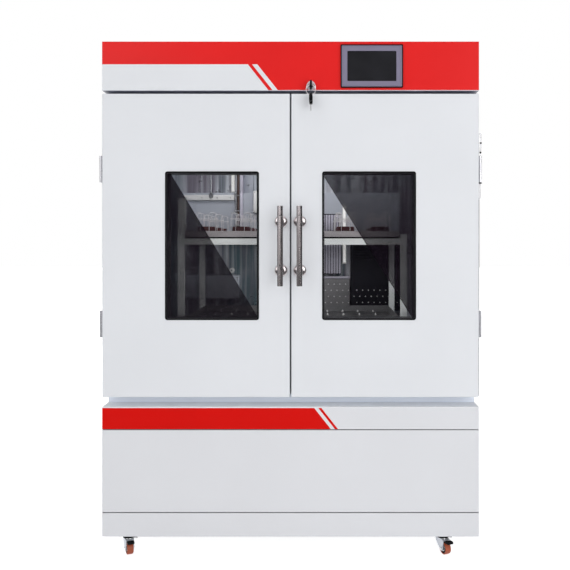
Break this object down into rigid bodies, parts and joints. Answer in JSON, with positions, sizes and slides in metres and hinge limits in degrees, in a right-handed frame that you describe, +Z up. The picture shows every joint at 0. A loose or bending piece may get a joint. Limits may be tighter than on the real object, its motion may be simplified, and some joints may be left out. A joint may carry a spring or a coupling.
{
  "type": "vertical incubated shaker",
  "caption": "Floor-standing incubated shaker cabinet on casters, with two glazed hinged doors, a touch screen and an orbiting rack with trays.",
  "frame": {"origin": "on the floor, under the middle of the whole object's box", "axes": "+Z up, -Y towards the doors, +X to the right of someone who faces the doors"},
  "size_m": [1.282, 0.8666, 1.725],
  "materials": {
    "white_paint": "satin",
    "red_paint": "satin",
    "bright_steel": "satin",
    "stainless": "satin",
    "zinc": "satin",
    "chrome": "polished",
    "dark_rubber": "matte",
    "pale_rubber": "matte",
    "black_plastic": "satin",
    "bezel_plastic": "satin",
    "screen_glass": "gloss",
    "tinted_glass": "gloss",
    "terracotta": "satin",
    "tray_metal": "satin",
    "cast_metal": "matte",
    "black_paint": "satin"
  },
  "bodies": {
    "cabinet": {"left_side_panel": "white_paint", "right_side_panel": "white_paint", "top_panel": "white_paint", "rear_panel": "white_paint", "front_frame": "white_paint", "chamber_liner": "stainless", "base_pan": "white_paint", "service_panel": "white_paint", "base_band_panel": "white_paint", "header_panel": "red_paint", "screen_bezel": "bezel_plastic", "touch_screen": "screen_glass", "lock_barrel": "chrome", "left_upper_cabinet_hinge": "bright_steel", "left_lower_cabinet_hinge": "bright_steel", "right_upper_cabinet_hinge": "bright_steel", "right_lower_cabinet_hinge": "bright_steel", "drive_base": "cast_metal", "drive_motor": "black_paint", "drive_belt": "dark_rubber", "air_duct_cover": "stainless", "compressor": "black_paint", "power_inlet": "black_plastic"},
    "left_door": {"left_door_shell": "white_paint", "left_door_inner_panel": "white_paint", "left_window_trim": "dark_rubber", "left_window_glass": "tinted_glass", "left_door_gasket": "pale_rubber", "left_handle": "bright_steel", "left_upper_door_hinge": "bright_steel", "left_lower_door_hinge": "bright_steel"},
    "right_door": {"right_door_shell": "white_paint", "right_door_inner_panel": "white_paint", "right_window_trim": "dark_rubber", "right_window_glass": "tinted_glass", "right_door_gasket": "pale_rubber", "right_handle": "bright_steel", "right_upper_door_hinge": "bright_steel", "right_lower_door_hinge": "bright_steel"},
    "key": {"door_key": "black_plastic"},
    "key_ring": {"split_ring": "chrome"},
    "hanging_key": {"spare_key": "black_plastic"},
    "front_left_swivel": {"front_left_fork": "zinc"},
    "front_right_swivel": {"front_right_fork": "zinc"},
    "rear_left_swivel": {"rear_left_fork": "zinc"},
    "rear_right_swivel": {"rear_right_fork": "zinc"},
    "front_left_roller": {"front_left_wheel": "terracotta"},
    "front_right_roller": {"front_right_wheel": "terracotta"},
    "rear_left_roller": {"rear_left_wheel": "terracotta"},
    "rear_right_roller": {"rear_right_wheel": "terracotta"},
    "front_left_brake": {"front_left_brake_pedal": "black_plastic"},
    "front_right_brake": {"front_right_brake_pedal": "black_plastic"},
    "driving_crank": {"driving_eccentric": "cast_metal"},
    "left_idler": {"left_idler_eccentric": "cast_metal"},
    "right_idler": {"right_idler_eccentric": "cast_metal"},
    "motor_wheel": {"motor_pulley": "bright_steel"},
    "rack": {"rack_frame": "white_paint", "upper_tray": "tray_metal", "lower_tray": "tray_metal"},
    "fan": {"circulation_fan": "black_plastic"}
  },
  "joints": [
    {"name": "left_door_swing", "type": "hinge", "parent": "cabinet", "child": "left_door", "pos_m": [-0.636, -0.35875, 1.0395], "axis": [0, 0, -1], "range_deg": [0, 115]},
    {"name": "right_door_swing", "type": "hinge", "parent": "cabinet", "child": "right_door", "pos_m": [0.636, -0.35875, 1.0395], "axis": [0, 0, 1], "range_deg": [0, 115]},
    {"name": "key_turn", "type": "hinge", "parent": "cabinet", "child": "key", "pos_m": [0.0685, -0.36675, 1.575], "axis": [0, 1, 0], "range_deg": [0, 90]},
    {"name": "key_ring_swing", "type": "hinge", "parent": "key", "child": "key_ring", "pos_m": [0.0685, -0.39675, 1.57331], "axis": [-1, 0, 0], "range_deg": [-5, 75]},
    {"name": "spare_key_swing", "type": "hinge", "parent": "key_ring", "child": "hanging_key", "pos_m": [0.0685, -0.39675, 1.54131], "axis": [-1, 0, 0], "range_deg": [-5, 75]},
    {"name": "front_left_swivel_turn", "type": "hinge", "parent": "cabinet", "child": "front_left_swivel", "pos_m": [-0.552, -0.32475, 0.06], "axis": [0, 0, 1], "continuous": true},
    {"name": "front_right_swivel_turn", "type": "hinge", "parent": "cabinet", "child": "front_right_swivel", "pos_m": [0.516, -0.32475, 0.06], "axis": [0, 0, 1], "continuous": true},
    {"name": "rear_left_swivel_turn", "type": "hinge", "parent": "cabinet", "child": "rear_left_swivel", "pos_m": [-0.552, 0.39125, 0.06], "axis": [0, 0, 1], "continuous": true},
    {"name": "rear_right_swivel_turn", "type": "hinge", "parent": "cabinet", "child": "rear_right_swivel", "pos_m": [0.516, 0.39125, 0.06], "axis": [0, 0, 1], "continuous": true},
    {"name": "front_left_roll", "type": "hinge", "parent": "front_left_swivel", "child": "front_left_roller", "pos_m": [-0.54608, -0.33744, 0.021], "axis": [0.9063, 0.4226, 0], "continuous": true},
    {"name": "front_right_roll", "type": "hinge", "parent": "front_right_swivel", "child": "front_right_roller", "pos_m": [0.52192, -0.33744, 0.021], "axis": [0.9063, 0.4226, 0], "continuous": true},
    {"name": "rear_left_roll", "type": "hinge", "parent": "rear_left_swivel", "child": "rear_left_roller", "pos_m": [-0.54608, 0.37856, 0.021], "axis": [0.9063, 0.4226, 0], "continuous": true},
    {"name": "rear_right_roll", "type": "hinge", "parent": "rear_right_swivel", "child": "rear_right_roller", "pos_m": [0.52192, 0.37856, 0.021], "axis": [0.9063, 0.4226, 0], "continuous": true},
    {"name": "front_left_brake_tip", "type": "hinge", "parent": "front_left_swivel", "child": "front_left_brake", "pos_m": [-0.54693, -0.33563, 0.0443], "axis": [0.9063, 0.4226, 0], "range_deg": [0, 10]},
    {"name": "front_right_brake_tip", "type": "hinge", "parent": "front_right_swivel", "child": "front_right_brake", "pos_m": [0.52107, -0.33563, 0.0443], "axis": [0.9063, 0.4226, 0], "range_deg": [0, 10]},
    {"name": "drive_spin", "type": "hinge", "parent": "cabinet", "child": "driving_crank", "pos_m": [0, 0.03325, 0.6448], "axis": [0, 0, 1], "continuous": true},
    {"name": "rack_orbit", "type": "hinge", "parent": "driving_crank", "child": "rack", "pos_m": [0, 0.02025, 0.6818], "axis": [0, 0, 1], "continuous": true},
    {"name": "left_idler_spin", "type": "hinge", "parent": "cabinet", "child": "left_idler", "pos_m": [-0.29, -0.16175, 0.6448], "axis": [0, 0, 1], "continuous": true},
    {"name": "right_idler_spin", "type": "hinge", "parent": "cabinet", "child": "right_idler", "pos_m": [0.29, -0.16175, 0.6448], "axis": [0, 0, 1], "continuous": true},
    {"name": "motor_spin", "type": "hinge", "parent": "cabinet", "child": "motor_wheel", "pos_m": [0.245, 0.03325, 0.6448], "axis": [0, 0, 1], "continuous": true},
    {"name": "fan_spin", "type": "hinge", "parent": "cabinet", "child": "fan", "pos_m": [0, 0.26075, 1.185], "axis": [0, 1, 0], "continuous": true}
  ],
  "couplings": [
    {"joint": "rack_orbit", "follows": "drive_spin", "ratio": -1},
    {"joint": "left_idler_spin", "follows": "drive_spin", "ratio": 1},
    {"joint": "right_idler_spin", "follows": "drive_spin", "ratio": 1},
    {"joint": "motor_spin", "follows": "drive_spin", "ratio": 3.6667}
  ]
}
